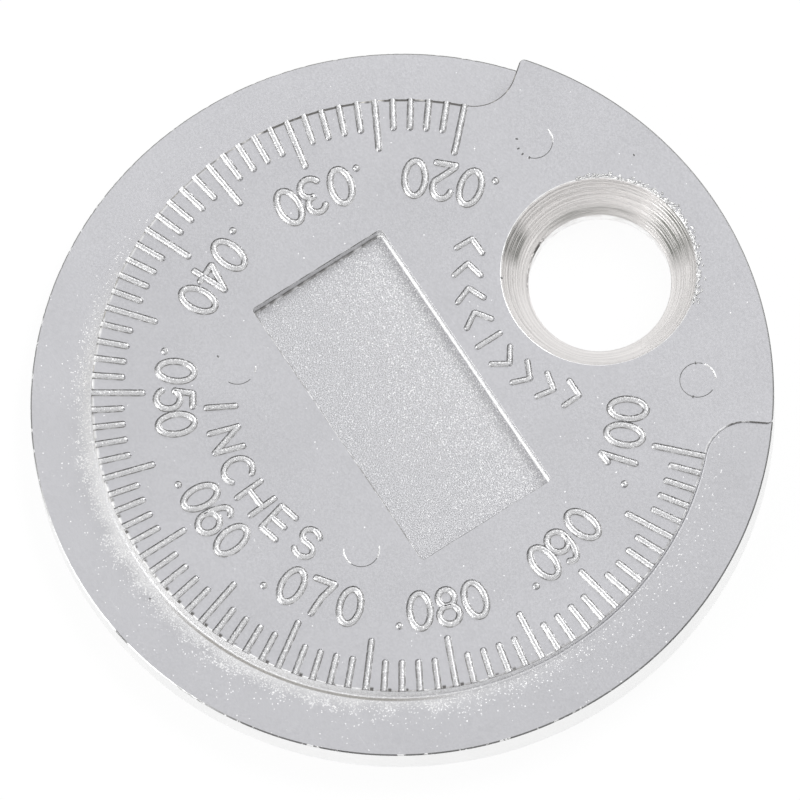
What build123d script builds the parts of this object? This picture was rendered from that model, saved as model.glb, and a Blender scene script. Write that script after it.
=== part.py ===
from build123d import *
import os

# A coin-shaped spark plug gap gauge, die-cast in one piece and lying on its flat back.
# A ledge runs round the face and rises like a ramp, so that its thickness is the gap it measures.
# Raised marks beside the ledge give that thickness in thousandths of an inch.
# The tapered hole takes a plug's side electrode to bend its gap open, or a key ring.
# Millimetres and degrees. The origin is the centre of the back, +Z leaves the face, and the hole lies on +Y.
# Angles run anticlockwise from +X, seen from above the face.

# Disc
DISC_RADIUS = 18.0
RIM_BEVEL = 0.1

# Scale, from the first mark to the last
THOUSANDTH_OF_INCH = 0.0254
FIRST_GAP = 20
LAST_GAP = 100
SCALE_SWEEP = 269.3
SCALE_MIDDLE = 270.0

# Ledge: how far it runs in from the rim and on past the end marks, and its walls
LEDGE_WIDTH = 3.0
RUN_ON_BEFORE_FIRST_MARK = 6.95
RUN_ON_AFTER_LAST_MARK = 7.35
LEDGE_CORNER_RADIUS = 2.0
LEDGE_END_RADIUS = 0.3
FOOT_BEVEL = 0.3
FACE_ABOVE_LAST_GAP = 0.16

# Raised marks of the scale
LONG_MARK_EVERY = 5
LONG_MARK_LENGTH = 2.64
SHORT_MARK_LENGTH = 1.62
MARK_WIDTH = 0.4
MARK_HEIGHT = 0.15

# Tapered hole with a short straight bore at the back
HOLE_RIM_WALL = 1.9
HOLE_MOUTH_RADIUS = 4.73
HOLE_BORE_RADIUS = 3.46
HOLE_BORE_LENGTH = 0.8

# Rectangular pocket in the middle of the face
POCKET_LENGTH = 15.24
POCKET_WIDTH = 7.48
POCKET_DEPTH = 0.65
POCKET_CORNER_RADIUS = 0.15
POCKET_DRAFT = 4.0

# Cutting tools reach this far past the solid that they cut
TOOL_REACH = 1.0
TOOL_OVERRUN_ANGLE = 3.0

# Sizes that follow from the ones above
FACE_RADIUS = DISC_RADIUS - LEDGE_WIDTH
HOLE_DISTANCE = DISC_RADIUS - HOLE_RIM_WALL - HOLE_MOUTH_RADIUS
DISC_THICKNESS = LAST_GAP * THOUSANDTH_OF_INCH + FACE_ABOVE_LAST_GAP
FIRST_MARK_ANGLE = SCALE_MIDDLE - SCALE_SWEEP / 2
LEDGE_START_ANGLE = FIRST_MARK_ANGLE - RUN_ON_BEFORE_FIRST_MARK
LEDGE_SWEEP = RUN_ON_BEFORE_FIRST_MARK + SCALE_SWEEP + RUN_ON_AFTER_LAST_MARK
DEGREES_PER_THOUSANDTH = SCALE_SWEEP / (LAST_GAP - FIRST_GAP)
RISE_PER_TURN = 360 / DEGREES_PER_THOUSANDTH * THOUSANDTH_OF_INCH


def mark_angle(gap):
    """Where the mark for a gap in thousandths stands on the scale."""
    return FIRST_MARK_ANGLE + (gap - FIRST_GAP) * DEGREES_PER_THOUSANDTH


def ledge_height(angle):
    """Thickness under the ledge at an angle, which is the gap it measures there."""
    first_height = FIRST_GAP * THOUSANDTH_OF_INCH
    return first_height + (angle - FIRST_MARK_ANGLE) / 360 * RISE_PER_TURN


def blank():
    """The plain disc with its rim edges bevelled."""
    disc = extrude(Circle(DISC_RADIUS), DISC_THICKNESS)
    return chamfer(disc.edges().filter_by(GeomType.CIRCLE), RIM_BEVEL)


def ledge_plan():
    """Outline of the ledge from above: a ring, open at the hole, with all its corners rounded."""
    outer_radius = DISC_RADIUS + TOOL_REACH
    far = 2 * outer_radius
    starting_end = Vector(far, 0).rotate(Axis.Z, LEDGE_START_ANGLE)
    finishing_end = Vector(far, 0).rotate(Axis.Z, LEDGE_START_ANGLE + LEDGE_SWEEP)
    sector = make_face(Polyline(starting_end, (0, 0), finishing_end, close=True))
    uncut_face = Circle(DISC_RADIUS) & sector
    rim_corners = uncut_face.vertices().group_by(lambda corner: corner.center().length)[-1]
    ring = Circle(outer_radius) - Circle(FACE_RADIUS) - fillet(rim_corners, LEDGE_END_RADIUS)
    inner_corners = ring.vertices().group_by(lambda corner: corner.center().length)[0]
    return fillet(inner_corners, LEDGE_CORNER_RADIUS)


def ledge_tool():
    """What the ledge leaves open: a section that climbs a helix, cut to the ledge's plan.

    The section has a bevel at the foot of the ledge's wall and another at the rim.
    """
    start = LEDGE_START_ANGLE - TOOL_OVERRUN_ANGLE
    turns = (LEDGE_SWEEP + 2 * TOOL_OVERRUN_ANGLE) / 360
    low = ledge_height(start)
    height = DISC_THICKNESS + MARK_HEIGHT + TOOL_REACH
    section = Pos(Y=low) * Polygon(
        (FACE_RADIUS - TOOL_REACH, height),
        (FACE_RADIUS - TOOL_REACH, FOOT_BEVEL + TOOL_REACH),
        (FACE_RADIUS + FOOT_BEVEL, 0),
        (DISC_RADIUS - RIM_BEVEL, 0),
        (DISC_RADIUS + 2 * TOOL_REACH, -RIM_BEVEL - 2 * TOOL_REACH),
        (DISC_RADIUS + 2 * TOOL_REACH, height),
        align=None,
    )
    climb = Pos(Z=low) * Rot(Z=start) * Helix(RISE_PER_TURN, RISE_PER_TURN * turns, FACE_RADIUS)
    climbing_tool = sweep(Rot(Z=start) * (Plane.XZ * section), climb, is_frenet=True)
    return climbing_tool & extrude(ledge_plan(), height)


def scale_mark(gap):
    """One raised mark with a round inner end, left long at the ledge."""
    length = SHORT_MARK_LENGTH if gap % LONG_MARK_EVERY else LONG_MARK_LENGTH
    plan = Pos(FACE_RADIUS - length) * SlotOverall(
        length + TOOL_REACH, MARK_WIDTH, align=(Align.MIN, Align.CENTER)
    )
    return Pos(Z=DISC_THICKNESS) * Rot(Z=mark_angle(gap)) * extrude(plan, MARK_HEIGHT)


def hole_tool():
    """The tapered hole, widest at the face, with its straight bore at the back."""
    profile = Polygon(
        (0, -TOOL_REACH),
        (HOLE_BORE_RADIUS, -TOOL_REACH),
        (HOLE_BORE_RADIUS, HOLE_BORE_LENGTH),
        (HOLE_MOUTH_RADIUS, DISC_THICKNESS),
        (HOLE_MOUTH_RADIUS, DISC_THICKNESS + TOOL_REACH),
        (0, DISC_THICKNESS + TOOL_REACH),
        align=None,
    )
    return Pos(Y=HOLE_DISTANCE) * revolve(Plane.XZ * profile, Axis.Z)


def pocket_tool():
    """The shallow pocket, which narrows a little towards its floor."""
    mouth = RectangleRounded(POCKET_LENGTH, POCKET_WIDTH, POCKET_CORNER_RADIUS)
    floor_side_down = Plane.XY.offset(DISC_THICKNESS).rotated((180, 0, 0))
    return extrude(floor_side_down * mouth, POCKET_DEPTH, taper=POCKET_DRAFT)


marks = [scale_mark(gap) for gap in range(FIRST_GAP, LAST_GAP + 1)]
gauge_disc = blank() + marks - ledge_tool() - hole_tool() - pocket_tool()

os.makedirs("parts", exist_ok=True)
export_step(gauge_disc, "parts/gauge_disc.step")
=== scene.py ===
import math
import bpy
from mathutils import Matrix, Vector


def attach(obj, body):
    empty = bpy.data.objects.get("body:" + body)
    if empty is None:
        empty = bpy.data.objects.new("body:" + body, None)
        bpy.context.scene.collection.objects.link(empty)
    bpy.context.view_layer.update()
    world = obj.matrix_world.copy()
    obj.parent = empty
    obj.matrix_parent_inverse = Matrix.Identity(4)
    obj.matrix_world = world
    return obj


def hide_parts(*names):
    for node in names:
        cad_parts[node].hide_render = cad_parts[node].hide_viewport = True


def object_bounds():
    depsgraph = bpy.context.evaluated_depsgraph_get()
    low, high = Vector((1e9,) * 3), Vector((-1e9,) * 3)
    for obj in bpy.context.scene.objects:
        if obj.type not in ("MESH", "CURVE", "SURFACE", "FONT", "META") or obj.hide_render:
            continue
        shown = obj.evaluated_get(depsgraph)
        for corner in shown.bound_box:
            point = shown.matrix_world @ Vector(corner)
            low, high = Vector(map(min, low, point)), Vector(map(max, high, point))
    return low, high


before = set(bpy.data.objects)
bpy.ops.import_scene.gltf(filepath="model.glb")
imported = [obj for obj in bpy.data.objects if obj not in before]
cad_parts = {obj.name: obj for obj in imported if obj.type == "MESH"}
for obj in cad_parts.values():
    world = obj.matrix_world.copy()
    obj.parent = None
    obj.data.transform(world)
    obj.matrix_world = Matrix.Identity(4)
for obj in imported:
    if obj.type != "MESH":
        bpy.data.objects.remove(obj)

from types import SimpleNamespace

import bmesh
import bpy
import numpy as np
from bpy.props import FloatProperty, FloatVectorProperty, IntProperty, PointerProperty
from mathutils import Matrix, Vector
from mathutils.geometry import delaunay_2d_cdt

bl_info = {
    "name": "Spark Plug Gap Gauge",
    "version": (1, 0, 0),
    "blender": (4, 5, 0),
    "location": "3D View > Sidebar > Gap Gauge",
    "description": "Builds a die-cast ramp gauge, its raised scale and a small white studio",
    "category": "Mesh",
}

# Lengths are in millimetres and angles in degrees while a piece is worked out. Lengths become metres in
# its mesh. Angles run anticlockwise from +X, seen from above the face, and the hole lies on +Y.

MM = 0.001
THOUSANDTH = 0.0254
BODY = "root"
NODE = "gauge_disc"
PLAIN_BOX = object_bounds()

WHITE = (1.0, 1.0, 1.0)
# Painted light: glints, highlights and lit sides
BRIGHT = (0.98, 0.98, 0.98)
# Painted light: the pale grey of the ledge's wall about one direction
PALE = (0.78, 0.78, 0.79)
# Dark specks on the ledge's wall, and painted shade in the cove at the foot of that wall
STAIN_AND_SHADE = (0.3, 0.28, 0.25)
# Painted shade along edges, in creases and at the feet of raised strokes, and a painted dark reflection in
# the hole
PAINTED_SHADE = (0.14, 0.135, 0.13)
BLACK = (0.0, 0.0, 0.0)

# The body's materials, in the order of its slots
FINISHES = (
    "cast_face", "cast_wall", "bright_side", "turned_hole", "blasted_floor", "worn_rim", "pocket_wall"
)

LEAD = 40  # degrees ahead of the first mark that count as before it, and not as past the last
WALL_EDGE = 0.06  # rounding along the top of the ledge's wall
WALL_LEAN = 0.02  # how far the wall's foot stands out from its top
WALL_ROWS = 6  # rows of points down to where the cove takes over from the wall
RIM_LINE_ROWS = 4  # rows of points down the rim's worn edge
FACE_SPREAD = np.arange(-17, 17.1, 1.4)  # both ways across the face, to share out its triangles
FACE_CLEAR, WALL_CLEAR = 0.6, 0.8  # how far those points keep from hole, pocket and wall
LEDGE_SPREAD = (16.1, 17.0)  # radii of the points that share out the ledge's triangles
HOLE_SIDES = 192
MOUTH_BREAK = 0.05  # broken edge at both ends of the hole
GROOVE_DEPTH = 0.012
GROOVE_STEPS = 5  # points down one turned groove
POCKET_CORNER = 0.2
RIM_TURNS = (25, 50, 75, 90)  # how far round the rim's upper edge its rows lie
NICK_IN, NICK_DOWN = 0.03, 0.04  # how deep the rim's nicks are at most
BEAD_STEP, LOOP_STEP = 0.14, 0.13  # about how far apart points lie along an open and a closed stroke
BEAD_PAST = 0.85  # how far a stroke runs past its drawn end, as a share of its half width
BEAD_TIP = 0.04  # share of its full size that a stroke has at its very end
BEAD_SIDES = 22
ARCH_REACH = 1.15  # half width of a bead's section with its skirt, where its own half width is 1
ARCH_SHARE = 0.72  # where the section's flat top bends down most
MARK_POINTS = 26
DOT = 0.03  # half length of a point or pit before its round ends
CHEVRONS, CHEVRON_STEP, CHEVRON_OUT = 4, 11.4, 1.62  # on each side, turn between two, and outside the hole
CHEVRON_WIDTH, CHEVRON_HEIGHT = 0.62, 1.3
EJECTOR_RADIUS = 0.87
BURR_FLAKES = 230
SHADE_FADE = 0.15  # how softly the hole's dark reflections end, up and down
LAMP_DISTANCE, LAMP_SIZE, LAMP_WATTS = 0.6, 0.3, 1.2  # in metres and watts
LAMPS = (("soft_lamp", 107, 42), ("low_lamp", 262, 20))  # azimuth and elevation
FLOOR_HALF, FLOOR_DROP = 1.5, 1e-5  # in metres

# Where the mould's ejector pins met the face: radius and angle, and then the arcs of painted highlight, the
# arcs of painted shade and the pits that each ring has, as angles about its own middle
EJECTORS = (
    (14.33, 120.4, ((54, 100),), ((-53, 50),), (229, 262, 285, 310)),
    (14.33, 59.6, ((62, 124),), ((132, 382),), (154, 312)),
    (8.06, 226.8, ((40, 60),), ((297, 372),), ()),
    (8.06, 313.2, ((235, 290), (30, 68)), ((292, 390),), ()),
)

# Dark pits elsewhere on the face and on the ledge
PITS = ((-6.49, -6.38), (-4.02, 15.99), (-7.72, -9.07), (-2.3, 7.25))
LEDGE_PIT = (1.7, -15.6)

# How far each number's point and figures stand past their mark
FIGURE_TURNS = {
    20: (-11.0, -5.9, 1.2, 8.4),
    30: (-11.0, -6.4, 1.2, 7.8),
    40: (-11.1, -6.1, 1.2, 8.1),
    50: (-10.4, -5.8, 1.6, 8.2),
    60: (-10.3, -5.1, 1.8, 8.8),
    70: (-11.3, -5.3, 2.2, 10.4),
    80: (-10.8, -5.5, 1.6, 8.7),
    90: (-10.2, -5.0, 1.2, 8.9),
    100: (-10.8, -5.6, 1.3, 8.2),
}

# The unit's letters: the angle that each stands at, and its width
UNIT_LETTERS = (
    ("I", 240.8, 0), ("N", 251.9, 1.02), ("C", 262.8, 1.15),
    ("H", 273.5, 1.1), ("E", 284.5, 0.95), ("S", 295.8, 1.0),
)

# Dark reflections in the hole: direction and reach, lowest and highest height, and strength
HOLE_SHADES = ((88, 20, 1.0, 2.75, 1.0), (216, 12, 1.6, 2.75, 0.95), (147, 48, 0.8, 1.3, 0.6))


def length_prop(name, description, millimetres):
    """A length, given here in millimetres and kept in metres."""
    default = millimetres * MM
    return FloatProperty(name=name, description=description, default=default, subtype="DISTANCE", precision=5)


def angle_prop(name, description, degrees):
    """An angle, given here in degrees and kept in radians."""
    return FloatProperty(name=name, description=description, default=math.radians(degrees), subtype="ANGLE")


def count_prop(name, description, default):
    """A whole number of one or more."""
    return IntProperty(name=name, description=description, default=default, min=1)


def colour_prop(name, description, *default):
    """A colour, given as red, green and blue."""
    return FloatVectorProperty(
        name=name, description=description, default=default, subtype="COLOR", min=0.0, max=1.0
    )


def light_prop(name, description, default):
    """The strength of a light."""
    return FloatProperty(name=name, description=description, default=default, min=0.0)


class GaugeShape(bpy.types.PropertyGroup):
    """Sizes of the cast disc, its ledge, hole and pocket"""

    radius: length_prop("Radius", "Radius of the disc", PLAIN_BOX[1].x / MM)
    thickness: length_prop("Thickness", "Thickness under the face, without the raised marks", 2.7)
    rim_round: length_prop("Rim rounding", "Radius of the rim's edges", 0.07)
    ledge_width: length_prop("Ledge width", "How far the ledge runs in from the rim", 3.0)
    run_on_first: angle_prop("First run-on", "How far the ledge runs before the first mark", 6.95)
    run_on_last: angle_prop("Last run-on", "How far the ledge runs after the last mark", 7.35)
    ledge_end: length_prop("Ledge end", "Radius where the ledge's ends meet the rim", 0.3)
    ledge_corner: length_prop("Ledge corner", "Radius of the ledge's inner corners", 2.0)
    cove: length_prop("Cove", "Radius at the foot of the ledge's wall", 0.14)
    hole_centre: length_prop("Hole distance", "From the disc's centre to the hole's", 11.37)
    hole_mouth: length_prop("Hole mouth", "Radius of the hole at the face", 4.73)
    hole_bore: length_prop("Hole bore", "Radius of the hole at the back", 3.46)
    hole_bore_length: length_prop("Bore length", "Length of the straight bore", 0.8)
    turned_grooves: count_prop("Turned grooves", "How many fine grooves the tapered wall has", 11)
    pocket_length: length_prop("Pocket length", "Along X", 15.24)
    pocket_width: length_prop("Pocket width", "Along Y", 7.48)
    pocket_depth: length_prop("Pocket depth", "Below the face", 0.65)


class GaugeScale(bpy.types.PropertyGroup):
    """Sizes of the raised marks and numbers"""

    first_gap: count_prop("First gap", "In thousandths of an inch", 20)
    last_gap: count_prop("Last gap", "In thousandths of an inch", 100)
    middle: angle_prop("Middle", "Angle at the scale's middle", 270.0)
    sweep: angle_prop("Sweep", "From the first mark to the last", 269.3)
    long_every: count_prop("Long mark every", "Every this many marks is long", 5)
    long_length: length_prop("Long mark", "Length of a long mark", 2.64)
    short_length: length_prop("Short mark", "Length of a short mark", 1.62)
    mark_width: length_prop("Mark width", "Width of a mark at its foot", 0.35)
    stroke_width: length_prop("Stroke width", "Width of a figure's strokes", 0.36)
    raised: length_prop("Raised", "Height above the face", 0.15)
    number_every: count_prop("Number every", "In thousandths of an inch", 10)
    number_radius: length_prop("Number radius", "To a figure's middle", 10.98)
    point_radius: length_prop("Point radius", "To the decimal point", 11.7)
    figure_width: length_prop("Figure width", "Between stroke centres", 1.0)
    figure_height: length_prop("Figure height", "Between stroke centres", 1.77)
    unit_radius: length_prop("Unit radius", "To the middle of the unit's letters", 8.75)
    unit_height: length_prop("Unit height", "Between stroke centres", 1.45)


class GaugeFinish(bpy.types.PropertyGroup):
    """Colours of the cast and the turned metal"""

    cast: colour_prop("Cast face", "Satin face and ledge", 0.6, 0.6, 0.625)
    # Painted highlight: the raised strokes are the face's own metal, painted brighter
    raised: colour_prop("Raised metal", "Marks and figures", 0.69, 0.69, 0.7)
    wall: colour_prop("Ledge wall", "Rough wall of the ledge", 0.55, 0.53, 0.48)
    # Painted light: near white for the rim's side as a painted reflection, and for the painted highlights on
    # the burr, the ejector rings and the rim's edge
    edge: colour_prop("Bright side", "Side of the rim", 0.95, 0.95, 0.95)
    pocket_wall: colour_prop("Pocket wall", "Walls of the pocket", 0.72, 0.72, 0.73)
    # Dark colour of the painted shade on the rim's edge and of the ejector rings' dark arcs, and of the pits
    rim_line: colour_prop("Rim line", "Rim's rounded edge", 0.2, 0.2, 0.2)
    turned: colour_prop("Turned hole", "Wall of the hole", 0.83, 0.81, 0.80)
    shade: colour_prop("Turned shadow", "Dark bands in the hole", 0.16, 0.165, 0.15)
    blasted: colour_prop("Blasted floor", "Floor of the pocket", 0.5, 0.5, 0.517)


class GaugeStudio(bpy.types.PropertyGroup):
    """Floor, lamps and camera"""

    floor: colour_prop("Floor", "Colour of the floor", 0.9, 0.9, 0.9)
    sky: light_prop("Room light", "Strength of the light from above", 0.81)
    high_band: light_prop("High band", "Strength of the light half way up", 1.25)
    low_band: light_prop("Low band", "Strength of the light near the horizon", 0.08)
    azimuth: angle_prop("Camera azimuth", "Round the object", 61.87)
    elevation: angle_prop("Camera elevation", "Above the floor", 72.62)
    roll: angle_prop("Camera roll", "About the camera's own axis", 4.952)
    distance: length_prop("Camera distance", "From the face", 1624.74)
    lens: FloatProperty(
        name="Lens", description="Focal length on a 36 mm frame", default=1513.1, subtype="DISTANCE_CAMERA"
    )
    aim_right: length_prop("Aim right", "How far the face's middle stands to the right", 0.0769)
    aim_up: length_prop("Aim up", "How far the face's middle stands up", 0.2688)


def plain(group):
    """A group's values, with its lengths in millimetres and its angles in degrees."""
    units = {"DISTANCE": 1 / MM, "ANGLE": math.degrees(1)}
    values = {}
    for name in group.__annotations__:
        value, unit = getattr(group, name), units.get(group.bl_rna.properties[name].subtype)
        values[name] = round(value * unit, 4) if unit else value
    return SimpleNamespace(**values)


def sizes(context):
    """The sizes of the disc and those of its scale."""
    return plain(context.scene.gauge_shape), plain(context.scene.gauge_scale)


def finish_piece(obj):
    """Hands a finished piece to the frame, and stops if it came out empty."""
    if not obj.data.polygons:
        raise RuntimeError(f"{obj.name} has no faces")
    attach(obj, BODY)
    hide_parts(NODE)


def linked(context, name, data):
    """A new object in the scene."""
    obj = bpy.data.objects.new(name, data)
    context.collection.objects.link(obj)
    return obj


def polar(radius, angle):
    """The point at a radius and an angle."""
    turn = math.radians(angle)
    return np.array([radius * math.cos(turn), radius * math.sin(turn)])


def around(radius, turns, z):
    """Points at radii, angles in radians and heights. The radius or the height may be one for all."""
    return list(zip(*np.broadcast_arrays(radius * np.cos(turns), radius * np.sin(turns), z)))


def angle_of(point):
    """Angle of a point."""
    return math.degrees(math.atan2(point[1], point[0]))


def flat(points):
    """Points without their heights."""
    return [tuple(p[:2]) for p in points]


def scale_step(scale):
    """Angle from one mark to the next."""
    return scale.sweep / (scale.last_gap - scale.first_gap)


def scale_start(scale):
    """Angle of the first mark."""
    return scale.middle - scale.sweep / 2


def ledge_height(scale, x, y):
    """Thickness of the ledge at a point, which is the gap it measures there."""
    past = (angle_of((x, y)) - scale_start(scale) + LEAD) % 360 - LEAD
    return (scale.first_gap + past / scale_step(scale)) * THOUSANDTH


def ledge_ends(shape, scale):
    """Angles where the ledge starts and ends."""
    start = scale_start(scale)
    return start - shape.run_on_first, start + scale.sweep + shape.run_on_last


def wall_radius(shape):
    """Radius of the ledge's wall, and of the scale's outer edge."""
    return shape.radius - shape.ledge_width


class Shell:
    """Collects strips and flat regions and joins them into one closed mesh."""

    def __init__(self):
        self.points = []
        self.faces = []
        self.finishes = []

    def add(self, points, faces, finish):
        """Takes in points and the faces between them, which have one finish."""
        first = len(self.points)
        self.points.extend(points)
        self.faces.extend([[first + i for i in face] for face in faces])
        self.finishes.extend([FINISHES.index(finish)] * len(faces))

    def strip(self, rows, finish, closed=False):
        """Faces between rows of points that lie side by side."""
        count = len(rows[0])
        faces = []
        for j in range(len(rows) - 1):
            for i in range(count if closed else count - 1):
                k = (i + 1) % count
                faces.append([j * count + i, j * count + k, (j + 1) * count + k, (j + 1) * count + i])
        self.add([p for row in rows for p in row], faces, finish)

    def region(self, outline, holes, inside, height, finish):
        """Triangles that fill an outline less its holes, with points inside it to share them out."""
        spots = []
        edges = []
        for loop in [outline, *holes]:
            first = len(spots)
            spots.extend(loop)
            edges.extend([(first + i, first + (i + 1) % len(loop)) for i in range(len(loop))])
        spots.extend(inside)
        result = delaunay_2d_cdt([Vector(p) for p in spots], edges, [], 1, 1e-5)
        kept = []
        for face in result[2]:
            middle = sum((result[0][i] for i in face), Vector((0, 0))) / len(face)
            if not any(holds(hole, middle) for hole in holes):
                kept.append(face)
        self.add([(p.x, p.y, height(p.x, p.y)) for p in result[0]], kept, finish)

    def mesh(self, name):
        """One mesh of it all, joined up, with its faces outwards and its finishes as materials."""
        made = bpy.data.meshes.new(name)
        made.from_pydata([[c * MM for c in p] for p in self.points], [], self.faces)
        for finish in FINISHES:
            made.materials.append(bpy.data.materials[finish])
        made.polygons.foreach_set("material_index", self.finishes)
        work = bmesh.new()
        work.from_mesh(made)
        bmesh.ops.remove_doubles(work, verts=work.verts, dist=2e-7)
        bmesh.ops.dissolve_degenerate(work, edges=work.edges, dist=1e-8)
        bmesh.ops.recalc_face_normals(work, faces=work.faces)
        work.to_mesh(made)
        work.free()
        made.shade_smooth()
        made.normals_split_custom_set_from_vertices(broad_normals(made))
        return made


def broad_normals(mesh):
    """A normal for each vertex, led by the largest faces, so that flat faces stay flat up to their edges."""
    total = np.zeros((len(mesh.vertices), 3))
    for face in mesh.polygons:
        total[list(face.vertices)] += np.array(face.normal) * face.area**1.5
    return total / np.linalg.norm(total, axis=1, keepdims=True)


def holds(loop, point):
    """Whether a closed loop goes round a point."""
    inside = False
    x, y = point[0], point[1]
    for (x1, y1), (x2, y2) in zip(loop, [*loop[1:], loop[0]]):
        if (y1 > y) != (y2 > y) and x < (x2 - x1) * (y - y1) / (y2 - y1) + x1:
            inside = not inside
    return inside


def wall_end(shape, angle, side):
    """Foot line of the ledge's wall at one end, from the rim in: points, and their directions to the ledge.

    The side is 1 where the ledge lies anticlockwise of the end, and -1 where it lies clockwise.
    """
    face, rim = wall_radius(shape), shape.radius - shape.rim_round
    corner, end = shape.ledge_corner, shape.ledge_end
    turn = shape.radius - end
    x, y = math.sqrt(turn**2 - end**2), -end
    open_angle = math.acos((rim**2 - turn**2 - end**2) / (2 * turn * end))
    line = []
    for a in np.linspace(math.atan2(y, x) + open_angle, math.pi / 2, 8):
        outward = np.array([math.cos(a), math.sin(a)])
        line.append((np.array([x, y]) + end * outward, outward))
    reach = math.sqrt((face + corner) ** 2 - corner**2)
    for t in np.linspace(x, reach, 4)[1:-1]:
        line.append((np.array([t, 0.0]), np.array([0.0, 1.0])))
    lean = math.asin(corner / (face + corner))
    for a in np.linspace(-math.pi / 2, lean - math.pi, 14):
        outward = np.array([math.cos(a), math.sin(a)])
        line.append((np.array([reach, corner]) + outward * corner, -outward))
    along, across = polar(1, angle), side * polar(1, angle + 90)
    return [(along * p[0] + across * p[1], along * n[0] + across * n[1]) for p, n in line]


def wall_path(shape, scale):
    """The foot line of the ledge's wall from end to end: points, and their directions to the ledge."""
    face = wall_radius(shape)
    start, end = ledge_ends(shape, scale)
    lean = math.degrees(math.asin(shape.ledge_corner / (face + shape.ledge_corner)))
    arc = np.linspace(start + lean, end - lean, int(end - start - 2 * lean) + 1)[1:-1]
    middle = [(polar(face, a), polar(1, a)) for a in arc]
    return wall_end(shape, start, 1) + middle + wall_end(shape, end, -1)[::-1]


def wall_rows(shape, scale):
    """Rows from the face's edge down the wall, and rows from its foot out through the cove to the ledge."""
    path, top = wall_path(shape, scale), shape.thickness
    turns, sweep = np.radians(np.linspace(0, 90, 4)), np.radians(np.linspace(0, 90, 7))
    steps = [np.linalg.norm(path[i + 1][0] - path[i][0]) for i in range(len(path) - 1)]
    gone = np.concatenate([[0], np.cumsum(steps)])
    grown = np.minimum(np.minimum(gone, gone[-1] - gone) / shape.ledge_end, 1)
    rows = [[] for _ in range(len(turns) + len(sweep))]
    for (point, outward), grow in zip(path, grown):
        low = ledge_height(scale, *point)
        edge = min(WALL_EDGE, 0.35 * (top - low)) * grow
        cove = min(shape.cove, 0.6 * (top - low)) * grow
        column = []
        for t in turns:
            spot = point + outward * (edge * (math.sin(t) - 1))
            column.append((*spot, top - edge * (1 - math.cos(t))))
        for t in sweep:
            spot = point + outward * (WALL_LEAN * grow + cove * (1 - math.cos(t)))
            column.append((*spot, ledge_height(scale, *spot) + cove * (1 - math.sin(t))))
        for row, spot in zip(rows, column):
            row.append(spot)
    return rows[:WALL_ROWS], rows[WALL_ROWS - 1 :]


def ring(centre_y, radius, z):
    """A level circle of points about the hole's centre."""
    angles = np.linspace(0, 2 * math.pi, HOLE_SIDES, endpoint=False)
    return [(radius * math.cos(a), centre_y + radius * math.sin(a), z) for a in angles]


def pocket_loop(shape, inset, z):
    """The pocket's rounded outline, drawn in by an inset."""
    corner = max(POCKET_CORNER - inset, 0.04)
    x = shape.pocket_length / 2 - inset - corner
    y = shape.pocket_width / 2 - inset - corner
    loop = []
    for sx, sy, first in ((1, 1, 0), (-1, 1, 90), (-1, -1, 180), (1, -1, 270)):
        for a in np.linspace(first, first + 90, 6):
            spot = polar(corner, a)
            loop.append((sx * x + spot[0], sy * y + spot[1], z))
    return loop


def hole_profile(shape):
    """Radius and height down the hole: a broken edge, the grooved taper and the straight bore."""
    mouth, bore, top, length = shape.hole_mouth, shape.hole_bore, shape.thickness, shape.hole_bore_length
    start = top - MOUTH_BREAK
    profile = [(mouth + MOUTH_BREAK, top), (mouth + 0.014, top - 0.012), (mouth, start)]
    steps = shape.turned_grooves * GROOVE_STEPS
    jitter = np.random.default_rng(4).uniform(0.5, 1.4, shape.turned_grooves + 1)
    for k in range(1, steps):
        t = k / steps
        wave = 0.5 - 0.5 * math.cos(2 * math.pi * k / GROOVE_STEPS)
        groove = jitter[int(t * shape.turned_grooves)] * GROOVE_DEPTH * wave
        profile.append((mouth + (bore - mouth) * t + groove, start - (start - length) * t))
    return profile + [(bore, length), (bore, 0.45), (bore, 0.06), (bore + MOUTH_BREAK, 0.0)]


def rim_rows(shape, columns):
    """Rows down the rim from its rounded top edge to its rounded bottom edge, with small nicks."""
    rim, r = shape.radius - shape.rim_round, shape.rim_round
    turns = np.array([math.atan2(y, x) for x, y, z in columns])
    worn = np.random.default_rng(7).uniform(0, 1, len(columns)) ** 8
    worn[[0, 1, -2, -1]] = 0
    tops = np.array([z for x, y, z in columns]) - NICK_DOWN * worn
    rows = [columns]
    for turn in np.radians(RIM_TURNS):
        nicked = rim + r * math.sin(turn) - NICK_IN * worn * (turn < math.pi / 2)
        rows.append(around(nicked, turns, tops - r * (1 - math.cos(turn))))
    for share in (0.75, 0.5, 0.25, 0.0):
        rows.append(around(shape.radius, turns, r + (tops - 2 * r) * share))
    for turn in np.radians((60, 30, 0)):
        rows.append(around(rim + r * math.sin(turn), turns, r * (1 - math.cos(turn))))
    return rows


def face_rim_rows(shape, scale, spots):
    """Rows down the rim beside the hole, where the side stops at the ledge's rounded ends."""
    start, end = ledge_ends(shape, scale)
    rim, r, q = shape.radius - shape.rim_round, shape.rim_round, shape.ledge_end
    turns = np.array([math.atan2(y, x) for x, y in spots])
    apart = np.minimum(math.radians(start) - turns, turns - math.radians(end - 360)) * shape.radius
    inset = q - np.sqrt(q**2 - np.maximum(q - apart, 0) ** 2)
    inset[[0, -1]] = r
    sides = shape.radius - np.minimum(inset, r)
    lows = np.interp(turns, turns[[0, -1]], [ledge_height(scale, *spots[k]) for k in (0, -1)])
    rows = [[(x, y, shape.thickness) for x, y in spots]]
    for turn in np.radians(RIM_TURNS):
        drop = (sides - rim) * (1 - math.cos(turn))
        rows.append(around(rim + (sides - rim) * math.sin(turn), turns, shape.thickness - drop))
    rows.append(around(sides, turns, lows))
    lower = rim_rows(shape, around(rim, turns, lows))
    for row in lower[1 : len(RIM_TURNS) + 1]:
        x, y, z = np.array(row).T
        rows.append(around(np.maximum(sides, np.hypot(x, y)), turns, z))
    return rows + lower[len(RIM_TURNS) + 1 :]


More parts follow.
